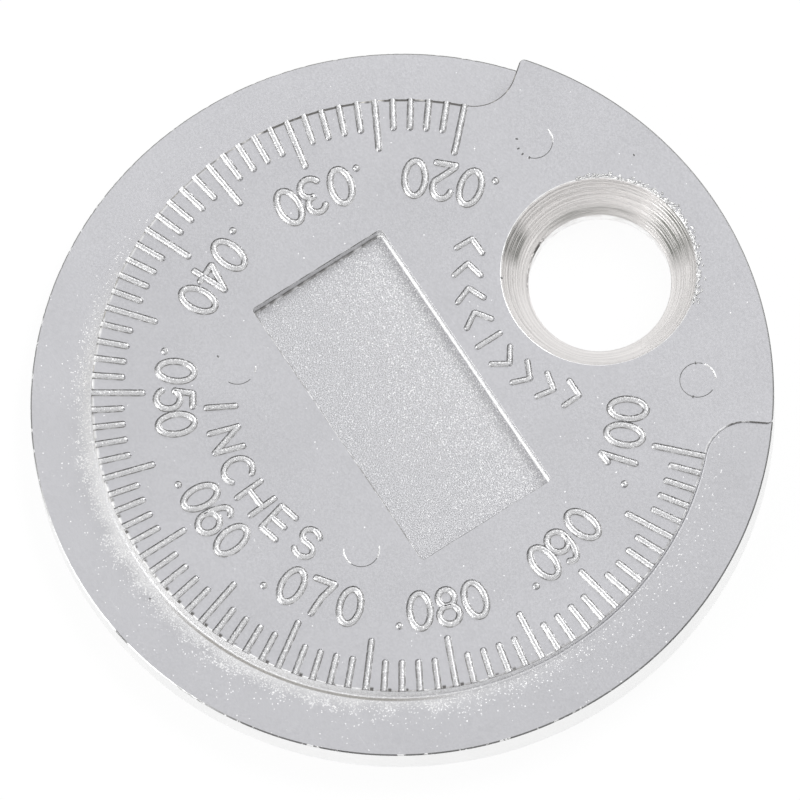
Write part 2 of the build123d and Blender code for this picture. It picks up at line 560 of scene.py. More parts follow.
class GAUGE_OT_body(bpy.types.Operator):
    """Builds the cast disc with its rising ledge, hole and pocket"""

    bl_idname = "gauge.body"
    bl_label = "Cast Disc"

    def execute(self, context):
        shape, scale = sizes(context)
        shell, top, depth = Shell(), shape.thickness, shape.pocket_depth
        wall, cove = wall_rows(shape, scale)
        shell.strip(wall, "cast_wall")
        shell.strip(cove, "cast_face")
        inner, outer = flat(wall[0]), flat(cove[-1])
        gap_edge, ledge_edge = self.rim_edges(shape, inner, outer)

        # The face round the hole and the pocket, and the ledge's climbing surface
        circles = [ring(shape.hole_centre, r, z) for r, z in hole_profile(shape)]
        holes = [flat(circles[0]), flat(pocket_loop(shape, 0, top))]
        shell.region(inner + gap_edge, holes, self.face_spread(shape), lambda x, y: top, "cast_face")
        turns = np.arange(angle_of(outer[0]) + 9, angle_of(outer[-1]) + 352, 1.0)
        between = [tuple(polar(radius, a)) for radius in LEDGE_SPREAD for a in turns]
        shell.region(outer + ledge_edge, [], between, lambda x, y: ledge_height(scale, x, y), "cast_face")

        # The rim, beside the face and beside the ledge, and the back
        first, last = outer[0], outer[-1]
        face_rim = face_rim_rows(shape, scale, [last, *gap_edge, first])
        along = [(x, y, ledge_height(scale, x, y)) for x, y in [first, *reversed(ledge_edge), last]]
        ledge_rim = rim_rows(shape, along)
        for side in (face_rim, ledge_rim):
            shell.strip(side[:RIM_LINE_ROWS], "worn_rim")
            shell.strip(side[RIM_LINE_ROWS - 1 :], "bright_side")
        foot = flat(face_rim[-1] + ledge_rim[-1][1:-1])
        shell.region(foot, [flat(circles[-1])], [], lambda x, y: 0.0, "cast_face")

        # The hole, and the pocket's walls, as insets and depths, with its floor
        shell.strip(circles, "turned_hole", closed=True)
        drawn = [(0, 0), (0.012, 0.004), (0.03, 0.03), (0.045, depth - 0.1), (0.06, depth - 0.045)]
        drawn += [(0.1, depth - 0.01), (0.15, depth)]
        loops = [pocket_loop(shape, inset, top - z) for inset, z in drawn]
        shell.strip(loops, "pocket_wall", closed=True)
        grid = [(x, y) for x in np.arange(-7, 7.1, 1) for y in np.arange(-3, 3.1, 1)]
        shell.region(flat(loops[-1]), [], grid, lambda x, y: top - depth, "blasted_floor")
        finish_piece(linked(context, "gauge_body", shell.mesh("gauge_body")))
        return {"FINISHED"}

    def rim_edges(self, shape, inner, outer):
        """Points along the rim beside the face and beside the ledge, closest at the ledge's ends."""
        rim = shape.radius - shape.rim_round
        beside = np.degrees(np.array([0.02, 0.045, 0.075, 0.11, 0.15, 0.2, 0.3]) / rim)
        start, end = angle_of(inner[-1]), angle_of(inner[0])
        gap = [*(start + beside), *np.linspace(start, end, 156)[3:-3], *(end - beside[::-1])]
        ledge = np.linspace(angle_of(outer[-1]) + 360, angle_of(outer[0]), 560)[1:-1]
        return [[tuple(polar(rim, a)) for a in angles] for angles in (gap, ledge)]

    def face_spread(self, shape):
        """A grid of points on the face, clear of the ledge, the hole and the pocket."""
        spread = []
        pocket_x, pocket_y = shape.pocket_length / 2 + FACE_CLEAR, shape.pocket_width / 2 + FACE_CLEAR
        for x in FACE_SPREAD:
            for y in FACE_SPREAD:
                in_pocket = abs(x) < pocket_x and abs(y) < pocket_y
                in_hole = math.hypot(x, y - shape.hole_centre) <= shape.hole_mouth + FACE_CLEAR
                if math.hypot(x, y) < wall_radius(shape) - WALL_CLEAR and not in_hole and not in_pocket:
                    spread.append((x, y))
        return spread


def bake(context, obj):
    """Puts an object's evaluated shape in its own mesh and drops its modifiers."""
    context.view_layer.update()
    graph = context.evaluated_depsgraph_get()
    solid = bpy.data.meshes.new_from_object(
        obj.evaluated_get(graph), preserve_all_data_layers=True, depsgraph=graph
    )
    solid.name = obj.name
    if obj.type == "MESH":
        obj.modifiers.clear()
        obj.data = solid
        return obj
    name = obj.name
    bpy.data.objects.remove(obj)
    return linked(context, name, solid)


def oval(x, y, rx, ry, start, end, count=24):
    """Points of an oval arc in a figure's unit box."""
    angles = np.radians(np.linspace(start, end, count))
    return [(x + rx * math.cos(a), y + ry * math.sin(a)) for a in angles]


def figure_strokes():
    """Each figure's strokes in a box one wide and one high. A stroke that ends where it began is closed."""
    upright = [(0, 0.5), (0, -0.5)]
    left, right = [(-0.5, 0.5), (-0.5, -0.5)], [(0.5, 0.5), (0.5, -0.5)]
    six = [oval(0, -0.19, 0.48, 0.31, 0, 360, 33), oval(0.04, -0.19, 0.52, 0.69, 62, 178)]
    two = oval(0, 0.17, 0.46, 0.33, 165, -25) + [(-0.1, -0.24), (-0.46, -0.46)]
    belly = oval(-0.02, -0.17, 0.5, 0.33, 148, -150)
    return {
        "0": [oval(0, 0, 0.5, 0.5, 0, 360, 41)],
        "1": [[(0.1, 0.5), (0.1, -0.5)], [(0.1, 0.5), (-0.24, 0.24)]],
        "2": [two, [(-0.48, -0.5), (0.5, -0.5)]],
        "3": [oval(-0.03, 0.26, 0.42, 0.24, 155, -88), oval(-0.03, -0.23, 0.5, 0.27, 88, -155)],
        "4": [[(0.2, 0.5), (-0.5, -0.2)], [(-0.5, -0.2), (0.5, -0.2)], [(0.2, 0.5), (0.2, -0.5)]],
        "5": [[(0.4, 0.5), (-0.28, 0.5)], [(-0.28, 0.5), (-0.42, 0.0)], belly],
        "6": six,
        "7": [[(-0.5, 0.5), (0.5, 0.5)], [(0.5, 0.5), (0.12, 0.02), (-0.08, -0.5)]],
        "8": [oval(0, 0.26, 0.39, 0.24, 0, 360, 33), oval(0, -0.23, 0.49, 0.27, 0, 360, 33)],
        "9": [[(-x, -y) for x, y in stroke] for stroke in six],
        "I": [upright],
        "N": [left, [(-0.5, 0.5), (0.5, -0.5)], right],
        "C": [oval(0, 0, 0.52, 0.5, 45, 315, 33)],
        "H": [left, [(-0.5, 0), (0.5, 0)], right],
        "E": [left, [(-0.5, 0.5), (0.5, 0.5)], [(-0.5, 0), (0.4, 0)], [(-0.5, -0.5), (0.5, -0.5)]],
        "S": [oval(0, 0.25, 0.44, 0.25, 25, 250, 20) + oval(0, -0.25, 0.48, 0.25, 70, -155, 20)],
    }


def dot(point):
    """The short stroke of a decimal point or a pit."""
    return [np.array(point) + polar(DOT, a) for a in (0, 90, 180)]


def bead_line(points, half_width):
    """A stroke's points at even steps, and the bead's size at each, which rounds its ends off."""
    line = np.array(points, float)
    closed = bool(np.linalg.norm(line[0] - line[-1]) < 1e-6)
    if not closed:
        for end, beyond in ((0, 1), (-1, -2)):
            direction = line[end] - line[beyond]
            line[end] = line[end] + direction / np.linalg.norm(direction) * half_width * BEAD_PAST
    lengths = np.concatenate([[0], np.cumsum(np.linalg.norm(np.diff(line, axis=0), axis=1))])
    total = lengths[-1]
    if closed:
        places = np.linspace(0, total, max(12, int(total / LOOP_STEP)), endpoint=False)
        bead = np.ones(len(places))
    else:
        tip = half_width * (1 - np.cos(np.radians(np.linspace(0, 90, 6))))
        middle = np.linspace(half_width, total - half_width, max(3, int(total / BEAD_STEP)))[1:-1]
        places = np.concatenate([tip, middle, total - tip[::-1]])
        near = np.minimum(np.minimum(places, total - places) / half_width, 1)
        bead = np.maximum(np.sqrt(1 - (1 - near) ** 2), BEAD_TIP)
    spots = np.stack([np.interp(places, lengths, line[:, k]) for k in (0, 1)], axis=1)
    return spots, bead, closed


def bead_curve(context, name, strokes, half_width, height):
    """A curve object with one spline for each stroke, lying at a height."""
    curve = bpy.data.curves.new(name, "CURVE")
    curve.dimensions = "3D"
    for stroke in strokes:
        spots, bead, closed = bead_line(stroke, half_width)
        spline = curve.splines.new("POLY")
        spline.points.add(len(spots) - 1)
        for point, spot, size in zip(spline.points, spots, bead):
            point.co = (spot[0] * MM, spot[1] * MM, height * MM, 1)
            point.radius = size
        spline.use_cyclic_u = closed
    return linked(context, name, curve)


def placed(strokes, middle, up, width, height):
    """Strokes from a unit box, put down about a middle with their tops towards a direction."""
    up = up / np.linalg.norm(up)
    across = np.array([up[1], -up[0]])
    return [[middle + across * x * width + up * y * height for x, y in stroke] for stroke in strokes]


def math_node(operation, flipped=False):
    """A method that adds a math node, with the other value first if it is flipped."""

    def method(self, *others):
        return self.tree.math(operation, *((*others, self) if flipped else (self, *others)))

    return method


class Wire:
    """A node's output. Sums, products and the like of it add nodes: | takes the larger, & the smaller."""

    def __init__(self, tree, socket):
        self.tree = tree
        self.socket = socket

    __add__ = math_node("ADD")
    __sub__ = math_node("SUBTRACT")
    __rsub__ = math_node("SUBTRACT", flipped=True)
    __mul__ = math_node("MULTIPLY")
    __truediv__ = math_node("DIVIDE")
    __mod__ = math_node("FLOORED_MODULO")
    __pow__ = math_node("POWER")
    __gt__ = math_node("GREATER_THAN")
    __lt__ = math_node("LESS_THAN")
    __or__ = math_node("MAXIMUM")
    __and__ = math_node("MINIMUM")
    __abs__ = math_node("ABSOLUTE")
    root = math_node("SQRT")
    cosine = math_node("COSINE")
    fraction = math_node("FRACT")
    wrapped = math_node("WRAP")

    def ramp(self, low, high, to_low=0.0, to_high=1.0):
        """This between two limits, spread over another range and held inside it."""
        inputs = {"Value": self, "From Min": low, "From Max": high, "To Min": to_low, "To Max": to_high}
        return self.tree.add("ShaderNodeMapRange", inputs)


class Tree:
    """A node tree with short ways to add and join nodes."""

    def __init__(self, tree):
        self.tree = tree

    def node(self, kind, inputs=(), **settings):
        """Adds a node, with inputs given by name, identifier or place. Its outputs are given back by name."""
        node = self.tree.nodes.new(kind)
        for name, value in settings.items():
            setattr(node, name, value)
        known = {socket.identifier: socket for socket in node.inputs}
        for key, value in dict(inputs).items():
            self.give(known.get(key) or node.inputs[key], value)
        return {key: Wire(self, out) for out in node.outputs for key in (out.name, out.identifier)}

    def give(self, socket, value):
        """Joins a wire to a socket, or sets the socket to a plain value."""
        if isinstance(value, Wire):
            self.tree.links.new(value.socket, socket)
        else:
            socket.default_value = value

    def add(self, kind, inputs=(), **settings):
        """Adds a node and gives its first output."""
        return next(iter(self.node(kind, inputs, **settings).values()))

    def math(self, operation, *values):
        """The outcome of a math node, for values that are wires or numbers."""
        return self.add("ShaderNodeMath", dict(enumerate(values)), operation=operation)

    def split(self, vector):
        """The three parts of a vector or a colour."""
        return self.node("ShaderNodeSeparateXYZ", {0: vector}).values()

    def join(self, x, y=0.0, z=0.0):
        """A vector of three parts."""
        return self.add("ShaderNodeCombineXYZ", {"X": x, "Y": y, "Z": z})


def geometry_tree(name, counts, numbers):
    """An empty Geometry Nodes tree with named inputs, and its inputs by name."""
    tree = bpy.data.node_groups.new(name, "GeometryNodeTree")
    inputs = [("Geometry", "Geometry"), *((label, "Int") for label in counts)]
    inputs += [*((label, "Float") for label in numbers), ("Material", "Material")]
    for label, kind in inputs:
        tree.interface.new_socket(name=label, in_out="INPUT", socket_type="NodeSocket" + kind)
    tree.interface.new_socket(name="Geometry", in_out="OUTPUT", socket_type="NodeSocketGeometry")
    t = Tree(tree)
    return t, t.node("NodeGroupInput")


def end_tree(t, geometry, material):
    """Ends a tree in real geometry with its material."""
    smooth = t.add("GeometryNodeSetShadeSmooth", {"Geometry": geometry})
    real = t.add("GeometryNodeRealizeInstances", {"Geometry": smooth})
    painted = t.add("GeometryNodeSetMaterial", {"Geometry": real, "Material": material})
    t.node("NodeGroupOutput", {0: painted})
    return t.tree


def swept_bead(t, curve, width, height):
    """A bead along a curve, as large at each point as the curve's radius says.

    Its section is a flat-topped arch with a thin skirt round its foot, closed below the face.
    """
    circle = t.add("GeometryNodeCurvePrimitiveCircle", {"Resolution": BEAD_SIDES, "Radius": ARCH_REACH})
    across, side, _ = t.split(t.add("GeometryNodeInputPosition"))
    arch = (abs(across) / ARCH_SHARE) ** 8 - 1
    skirt = (abs(across) - 1) * 1.5 | -0.06
    lower_half = side * 1000
    lifted = (arch & skirt | lower_half) & ARCH_REACH**2 - 1
    spot = t.join(across * (width * 0.5), lifted * height)
    section = t.add("GeometryNodeSetPosition", {"Geometry": circle, "Position": spot})
    level = t.add("GeometryNodeSetCurveNormal", {"Curve": curve}, mode="Z_UP")
    size = t.add("GeometryNodeInputRadius")
    sweep = {"Curve": level, "Profile Curve": section, "Scale": size, "Fill Caps": True}
    return t.add("GeometryNodeCurveToMesh", sweep)


def bead_tree():
    """The tree that turns drawn strokes into raised beads."""
    name = "raised bead along strokes"
    if name in bpy.data.node_groups:
        return bpy.data.node_groups[name]
    t, given = geometry_tree(name, [], ["Width", "Height"])
    bead = swept_bead(t, given["Geometry"], given["Width"], given["Height"])
    return end_tree(t, bead, given["Material"])


def marks_tree():
    """The tree that sets long and short marks round the scale."""
    numbers = ["First Angle", "Step", "Outer Radius", "Long Length", "Short Length"]
    numbers += ["Width", "Height", "Level"]
    t, given = geometry_tree("marks round the scale", ["Count", "Long Every"], numbers)
    bars = []
    for length in (given["Long Length"], given["Short Length"]):
        line = t.add("GeometryNodeCurvePrimitiveLine")
        fine = t.add("GeometryNodeResampleCurve", {"Curve": line, "Count": MARK_POINTS})
        factor = t.add("GeometryNodeSplineParameter")
        along = (1 - (factor * (math.pi / 2)).cosine()) * length
        spot = t.join(given["Outer Radius"] - length + along, z=given["Level"])
        away = 1 - (along / (given["Width"] * 0.5) & 1)
        size = (1 - away * away).root() | BEAD_TIP
        sized = t.add("GeometryNodeSetCurveRadius", {"Curve": fine, "Radius": size})
        bar = t.add("GeometryNodeSetPosition", {"Geometry": sized, "Position": spot})
        bars.append(swept_bead(t, bar, given["Width"], given["Height"]))
    kinds = t.tree.nodes.new("GeometryNodeGeometryToInstance")
    for bar in reversed(bars):
        t.give(kinds.inputs[0], bar)
    index = t.add("GeometryNodeInputIndex")
    spun = {
        "Points": t.add("GeometryNodePoints", {"Count": given["Count"]}),
        "Instance": Wire(t, kinds.outputs[0]),
        "Pick Instance": True,
        "Instance Index": t.math("MODULO", index, given["Long Every"]) > 0.5,
        "Rotation": t.join(0.0, z=given["First Angle"] + index * given["Step"]),
    }
    return end_tree(t, t.add("GeometryNodeInstanceOnPoints", spun), given["Material"])


def run_tree(context, obj, tree, values):
    """Runs a Geometry Nodes tree on an object and keeps only its plain mesh."""
    modifier = obj.modifiers.new(tree.name, "NODES")
    modifier.node_group = tree
    sockets = {item.name: item.identifier for item in tree.interface.items_tree if item.in_out == "INPUT"}
    for name, value in values.items():
        modifier[sockets[name]] = value
    obj.update_tag()
    return bake(context, obj)


def raise_strokes(context, name, strokes, width, height, level, material="raised_metal"):
    """Raises strokes as beads on the face, as one piece."""
    drawn = bead_curve(context, name, strokes, width / 2, level)
    values = {"Width": width * MM, "Height": height * MM, "Material": bpy.data.materials[material]}
    finish_piece(run_tree(context, drawn, bead_tree(), values))


class GAUGE_OT_marks(bpy.types.Operator):
    """Sets the raised marks round the scale"""

    bl_idname = "gauge.marks"
    bl_label = "Scale Marks"

    def execute(self, context):
        shape, scale = sizes(context)
        holder = linked(context, "scale_marks", bpy.data.meshes.new("scale_marks"))
        values = {
            "Count": scale.last_gap - scale.first_gap + 1,
            "First Angle": math.radians(scale_start(scale)),
            "Step": math.radians(scale_step(scale)),
            "Long Every": scale.long_every,
            "Outer Radius": wall_radius(shape) * MM,
            "Long Length": scale.long_length * MM,
            "Short Length": scale.short_length * MM,
            "Width": scale.mark_width * MM,
            "Height": scale.raised * MM,
            "Level": shape.thickness * MM,
            "Material": bpy.data.materials["raised_metal"],
        }
        finish_piece(run_tree(context, holder, marks_tree(), values))
        return {"FINISHED"}


class GAUGE_OT_numbers(bpy.types.Operator):
    """Raises the scale's numbers, each group beside its long mark"""

    bl_idname = "gauge.numbers"
    bl_label = "Scale Numbers"

    def execute(self, context):
        shape, scale = sizes(context)
        figures, strokes = figure_strokes(), []
        for gap in range(scale.first_gap, scale.last_gap + 1, scale.number_every):
            mark = scale_start(scale) + (gap - scale.first_gap) * scale_step(scale)
            before, *turns = FIGURE_TURNS[gap]
            for figure, turn in zip(f"{gap:03d}", turns):
                place = polar(scale.number_radius, mark + turn)
                strokes += placed(figures[figure], place, -place, scale.figure_width, scale.figure_height)
            strokes.append(dot(polar(scale.point_radius, mark + before)))
        raise_strokes(context, "scale_numbers", strokes, scale.stroke_width, scale.raised, shape.thickness)
        return {"FINISHED"}


class GAUGE_OT_unit(bpy.types.Operator):
    """Raises the unit of the scale below the pocket"""

    bl_idname = "gauge.unit"
    bl_label = "Unit"

    def execute(self, context):
        shape, scale = sizes(context)
        figures, strokes = figure_strokes(), []
        for letter, angle, width in UNIT_LETTERS:
            place = polar(scale.unit_radius, angle)
            strokes += placed(figures[letter], place, -place, width, scale.unit_height)
        width = scale.stroke_width - 0.03
        raise_strokes(context, "scale_unit", strokes, width, scale.raised, shape.thickness)
        return {"FINISHED"}


class GAUGE_OT_chevrons(bpy.types.Operator):
    """Raises a row of chevrons that point apart, round the lower side of the hole"""

    bl_idname = "gauge.chevrons"
    bl_label = "Opening Chevrons"

    def execute(self, context):
        shape, scale = sizes(context)
        strokes = []
        for step in range(-CHEVRONS, CHEVRONS + 1):
            spoke = polar(shape.hole_mouth + CHEVRON_OUT, 270 + step * CHEVRON_STEP)
            tip = 0.5 if step > 0 else -0.5
            chevron = [(-tip, 0.5), (tip, 0)], [(tip, 0), (-tip, -0.5)]
            if step == 0:
                chevron = ([(0, 0.5), (0, -0.5)],)
            middle = spoke + (0, shape.hole_centre)
            strokes += placed(chevron, middle, -spoke, CHEVRON_WIDTH, CHEVRON_HEIGHT)
        width = scale.stroke_width - 0.05
        raise_strokes(context, "opening_chevrons", strokes, width, scale.raised, shape.thickness)
        return {"FINISHED"}


class GAUGE_OT_castings(bpy.types.Operator):
    """Leaves the faint rings of the ejector pins as arcs of painted highlight and painted shade, dark pits,
    and the burr round the hole's mouth with a painted highlight
    """

    bl_idname = "gauge.castings"
    bl_label = "Ejector Rings and Burr"

    def execute(self, context):
        shape, scale = sizes(context)
        bright, dark, pits = [], [], [dot(pit) for pit in PITS]
        for radius, angle, bright_arcs, dark_arcs, dots in EJECTORS:
            middle = polar(radius, angle)
            for strokes, arcs in ((bright, bright_arcs), (dark, dark_arcs)):
                for start, end in arcs:
                    strokes.append([middle + polar(EJECTOR_RADIUS, a) for a in np.linspace(start, end, 30)])
            pits += [[middle + polar(EJECTOR_RADIUS + d, a) for d in (-0.04, 0.0, 0.04)] for a in dots]
        face, ledge = shape.thickness, ledge_height(scale, *LEDGE_PIT)
        for name, strokes, width, height, level, material in (
            # Arcs of painted highlight and of painted shade, dark pits, and the burr with a painted highlight
            # and painted shade among its flakes
            ("ejector_rings", bright, 0.07, 0.015, face, "burr_metal"),
            ("ejector_shadows", dark, 0.04, 0.005, face, "stained_metal"),
            ("face_pits", pits, 0.08, 0.01, face, "stained_metal"),
            ("ledge_pit", [dot(LEDGE_PIT)], 0.08, 0.01, ledge, "stained_metal"),
            ("hole_burr", self.flakes(shape), 0.1, 0.07, face, "burr_metal"),
        ):
            raise_strokes(context, name, strokes, width, height, level, material)
        return {"FINISHED"}

    def flakes(self, shape):
        """Short strokes along the side of the hole's mouth where the tool left its burr."""
        random = np.random.default_rng(11)
        burr = []
        for start in random.uniform(36, 160, BURR_FLAKES):
            out = shape.hole_mouth + MOUTH_BREAK + random.exponential(0.07)
            turn = start + random.uniform(0.3, 1.6) * random.choice((-1, 1))
            lean = out + random.uniform(-0.06, 0.06)
            flake = [polar(out, start), polar((out + lean) / 2, (start + turn) / 2), polar(lean, turn)]
            burr.append([spot + (0, shape.hole_centre) for spot in flake])
        return burr


def tint(colour, factor):
    """A colour made lighter or darker."""
    return tuple(min(c * factor, 1.0) for c in colour)


class Skin(Tree):
    """A metal material that is painted in layers, with the object's own coordinates in millimetres."""

    def __init__(self, name, rough=0.3, metallic=1.0, centre_y=0.0):
        material = bpy.data.materials.new(name)
        material.use_nodes = True
        super().__init__(material.node_tree)
        self.shader = self.tree.nodes["Principled BSDF"].inputs
        self.give(self.shader["Metallic"], metallic)
        self.give(self.shader["Roughness"], rough)
        place = self.node("ShaderNodeTexCoord")["Object"]
        self.place = self.add("ShaderNodeMapping", {"Vector": place, "Scale": (1 / MM, 1 / MM, 1 / MM)})
        x, self.y, self.z = self.split(self.place)
        y = self.y - centre_y
        self.radius = (x * x + y * y).root()
        self.angle = self.math("DEGREES", self.math("ARCTAN2", y, x)) % 360
        self.base = None

    def noise(self, scale, detail=2.0, roughness=0.5, place=None):
        """A noise value between about 0 and 1 that repeats about once in 1/scale mm."""
        inputs = {"Vector": place or self.place, "Scale": scale, "Detail": detail, "Roughness": roughness}
        return self.add("ShaderNodeTexNoise", inputs)

    def blend(self, share, first, second):
        """A colour between two, each a wire or red, green and blue."""
        first, second = (c if isinstance(c, Wire) else (*c, 1.0) for c in (first, second))
        inputs = {"Factor_Float": share, "A_Color": first, "B_Color": second}
        return self.node("ShaderNodeMix", inputs, data_type="RGBA")["Result_Color"]

    def paint(self, share, colour):
        """Lays another colour over what is there, as thick as a mask says."""
        self.base = self.blend(share, self.base, colour)

    def near(self, direction, full, none):
        """One within an angle of a direction, and nothing beyond another."""
        return abs((self.angle - direction).wrapped(180.0, -180.0)).ramp(none, full)

    def specks(self, scale, size, amount):
        """Dots, one in a cell, in as large a share of the cells as an amount says: painted glints where
        painted bright, dark specks where painted dark.
        """
        cells = self.node("ShaderNodeTexVoronoi", {"Vector": self.place, "Scale": scale})
        pick, shine, _ = self.split(cells["Color"])
        return (pick > 1 - amount) * shine.ramp(0.0, 1.0, 0.4, 1.0) * cells["Distance"].ramp(size, size * 0.6)

    def scratches(self, turn, scale, threshold):
        """Thin straight lines in one direction."""
        turned = {"Vector": self.place, "Rotation": (0, 0, math.radians(turn)), "Scale": (0.18, 9, 1)}
        lines = self.noise(scale, 1.0, place=self.add("ShaderNodeMapping", turned))
        return lines.ramp(threshold, threshold + 0.05)

    def finish(self, height, distance=0.01):
        """Joins the colour and a height, in mm, to the shader."""
        self.give(self.shader["Base Color"], self.base)
        bump = self.add("ShaderNodeBump", {"Height": height, "Distance": distance * MM})
        self.give(self.shader["Normal"], bump)


def past_first_mark(skin, scale):
    """Degrees past the first mark, less than nothing a little before it."""
    return (skin.angle - scale_start(scale) + LEAD) % 360 - LEAD


def below_face(skin, shape):
    """Masks what lies clearly lower than the face."""
    return skin.z.ramp(shape.thickness - 0.08, shape.thickness - 0.15)


def ledge_glitter(skin, shape):
    """How thick the painted glints lie on the ledge: dense beside its wall on its lit side and thin further
    out.
    """
    foot = wall_radius(shape)
    far = skin.radius + skin.noise(0.9).ramp(0.3, 0.7, -0.25, 0.25)
    dense = far.ramp(foot + 1.15, foot + 0.35, 0.0, 0.95) * skin.near(286, 32, 88)
    thin = far.ramp(foot + 1.9, foot + 0.4, 0.008, 0.12) * skin.near(318, 45, 115)
    return (dense | thin) * below_face(skin, shape) * skin.radius.ramp(foot - 0.2, foot - 0.1)


def foot_shade(skin, shape):
    """Painted shade: a thin brownish line in the cove at the foot of the ledge's wall, to the right of the
    scale's middle.
    """
    foot = wall_radius(shape)
    line = skin.radius.ramp(foot + 0.28, foot + 0.23) * skin.radius.ramp(foot + 0.1, foot + 0.15)
    return line * below_face(skin, shape) * skin.near(307, 18, 32) * 0.75


def edge_highlight(skin, shape):
    """Painted highlight, in white patches, along the top edge of the ledge's wall on its lit side."""
    edge, top = wall_radius(shape), shape.thickness
    along = skin.radius.ramp(edge - 0.16, edge - 0.06) * skin.z.ramp(top - 0.14, top - 0.1)
    return along * skin.noise(1.8).ramp(0.4, 0.5) * skin.near(228, 36, 58)


def edge_shade(skin, shape, scale):
    """Painted shade: a dark line along the top edge of the ledge's wall, left off its lit side, and dark
    corners, between one mark and the next.
    """
    edge, top = wall_radius(shape), shape.thickness
    past, patchy, upper_left = past_first_mark(skin, scale), skin.noise(1.3, 1.0), skin.near(150, 25, 45)
    share = (past / scale_step(scale)).fraction()
    inner = upper_left.ramp(0.0, 1.0, edge - 0.1, edge - 0.15)
    line = abs(share - 0.5).ramp(0.4, 0.34) * (1 - skin.near(284, 26, 44)) * patchy.ramp(0.32, 0.46)
    line = line * upper_left.ramp(0.0, 1.0, 0.5, 1.0) * (skin.radius - inner).ramp(0.0, 0.05)
    corner = abs(share - 0.33).ramp(0.13, 0.07) * skin.radius.ramp(edge - 0.2, edge - 0.1)
    corner = corner * patchy.ramp(0.46, 0.5) * skin.near(305, 40, 60)
    on_scale = (past > 0.0) * (past < scale.sweep)
    return (line | corner) * skin.z.ramp(top - 0.065, top - 0.04) * on_scale


def cast_metal(shape, scale, name, colour, rough=0.3, fineness=9.0, mottle=0.02, glitter=0.0012, grain=0.3):
    """Satin die-cast skin: clouded colour, fine grain and faint scratches, with painted glints, a painted
    band of light beside the ledge's wall, and painted shade and highlights along that wall.
    """
    skin, foot = Skin(name, rough), wall_radius(shape)
    fine = skin.noise(fineness, 2.0, 0.65)
    skin.base = skin.blend(skin.noise(0.25, 3.0).ramp(0.35, 0.65), tint(colour, 0.98), tint(colour, 1.02))
    skin.paint(fine.ramp(0.65, 0.35, 0.0, mottle), BLACK)
    scratch = skin.scratches(28, 1.1, 0.76) | skin.scratches(-57, 1.3, 0.77)
    skin.paint(scratch * 0.25, tint(colour, 1.3))
    # Painted glints, thick beside the ledge wall's lit side, and a painted band of light there
    thick = ledge_glitter(skin, shape)
    coarse = skin.specks(10.0, 0.62, thick.ramp(0.2, 1.0, 0.0, 0.7))
    speck = skin.specks(15.0, 0.66, thick * 0.8 + glitter) | coarse
    white = speck | thick * skin.radius.ramp(foot + 0.75, foot + 0.3, 0.25, 0.62)
    skin.paint(white, BRIGHT)
    # Painted shade in the cove at the wall's foot
    skin.paint(foot_shade(skin, shape), STAIN_AND_SHADE)
    # Painted highlight along the wall's top edge on its lit side
    skin.paint(edge_highlight(skin, shape), BRIGHT)
    # Painted shade along the wall's top edge and in its corners
    skin.paint(edge_shade(skin, shape, scale), PAINTED_SHADE)
    skin.give(skin.shader["Metallic"], white.ramp(0.0, 1.0, 1.0, 0.1))
    skin.give(skin.shader["Roughness"], fine.ramp(0.3, 0.7, rough, rough + 0.1))
    return skin, fine * grain + speck * thick.ramp(0.0, 1.0, 0.6, 1.2)


def raised_metal(shape, scale, name, colour):
    """Raised marks and figures: the cast metal painted brighter as a painted highlight, with painted shade as
    a dark outline where the skirt meets the face.
    """
    settings = {"rough": 0.26, "fineness": 12.0, "mottle": 0.16, "glitter": 0.12, "grain": 2.0}
    skin, height = cast_metal(shape, scale, name, colour, **settings)
    # Painted shade along the foot of each stroke
    skirt = skin.z.ramp(shape.thickness + 0.04, shape.thickness + 0.01)
    skin.paint(skirt * skin.noise(2.5).ramp(0.3, 0.6, 0.2, 0.85), PAINTED_SHADE)
    skin.finish(height)


def ledge_wall(shape, scale, name, colour):
    """Rough wall of the ledge: cream patches, painted pale grey about one direction and white on its lit side
    as painted light, with painted glints and dark specks, and painted shade at its foot and along its top
    edge.
    """
    skin, top = Skin(name, 0.5, 0.3), shape.thickness
    patches = skin.noise(4.5, 3.0, 0.6).ramp(0.42, 0.58)
    cream = skin.blend(patches, tint(colour, 0.7), tint(colour, 1.5))
    # Painted light: pale grey patches about one direction round the wall, cream patches elsewhere
    skin.base = skin.blend(skin.near(350, 62, 78), cream, skin.blend(patches, PALE, tint(PALE, 1.15)))
    # Painted light: white patches on the wall's lit side
    bright = skin.near(276, 26, 48) * skin.noise(3.0).ramp(0.35, 0.5, 0.55, 1.0)
    skin.paint(bright * 0.9, BRIGHT)
    # Painted glints, then dark specks
    skin.paint(skin.specks(13.0, 0.65, 0.3), BRIGHT)
    skin.paint(skin.specks(11.0, 0.6, 0.35) * 0.4, STAIN_AND_SHADE)
    gap = past_first_mark(skin, scale) / scale_step(scale) + scale.first_gap
    # Painted shade in a thin band at the wall's foot, left off its lit side
    foot = (skin.z - gap * THOUSANDTH).ramp(0.1, 0.06) * (1 - bright) * skin.near(307, 18, 32)
    skin.paint(foot * 0.6, STAIN_AND_SHADE)
    straight = skin.radius.ramp(shape.radius - 2.3, shape.radius - 2.0, 0.15, 1.0)
    # Painted shade along the wall's top edge at the ledge's ends
    end_edge = skin.z.ramp(top - 0.08, top - 0.055) * skin.noise(1.4).ramp(0.36, 0.5, 0.25, 1.0)
    end_edge = end_edge * skin.near(90, 45, 46) * (straight | skin.near(128, 20, 21))
    # Painted highlight along the top edge on the lit side, then painted shade along that edge
    skin.paint(edge_highlight(skin, shape), BRIGHT)
    skin.paint(end_edge | edge_shade(skin, shape, scale), PAINTED_SHADE)
    skin.finish(skin.noise(6.0, 3.0, 0.6), 0.08)


